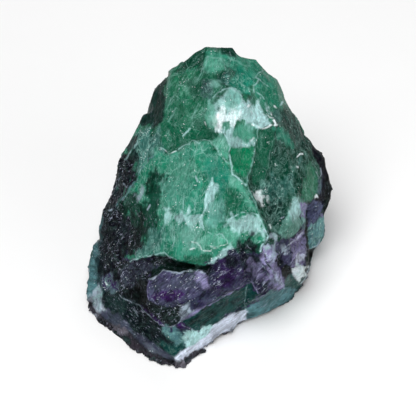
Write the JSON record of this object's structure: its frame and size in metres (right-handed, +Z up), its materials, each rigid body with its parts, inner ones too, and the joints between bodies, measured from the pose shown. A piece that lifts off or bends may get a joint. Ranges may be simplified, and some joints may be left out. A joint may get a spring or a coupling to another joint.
{
  "type": "rough banded fluorite stone",
  "caption": "Rough piece of banded fluorite standing on its flat underside: a green dome over a purple shelf, a teal slab with a white seam and a dark crust at the foot.",
  "frame": {"origin": "bottom centre of the stone's box, on the table it stands on", "axes": "+Z up, +Y away from the show side, +X to the right as the show side is seen"},
  "size_m": [0.0632, 0.0702, 0.0645],
  "materials": {
    "fluorite": "glossy broken faces of a cloudy crystal, green above, with purple and teal bands, a white seam and a dull brown-black crust below"
  },
  "bodies": {
    "root": {"fluorite_specimen": "fluorite"}
  },
  "joints": []
}
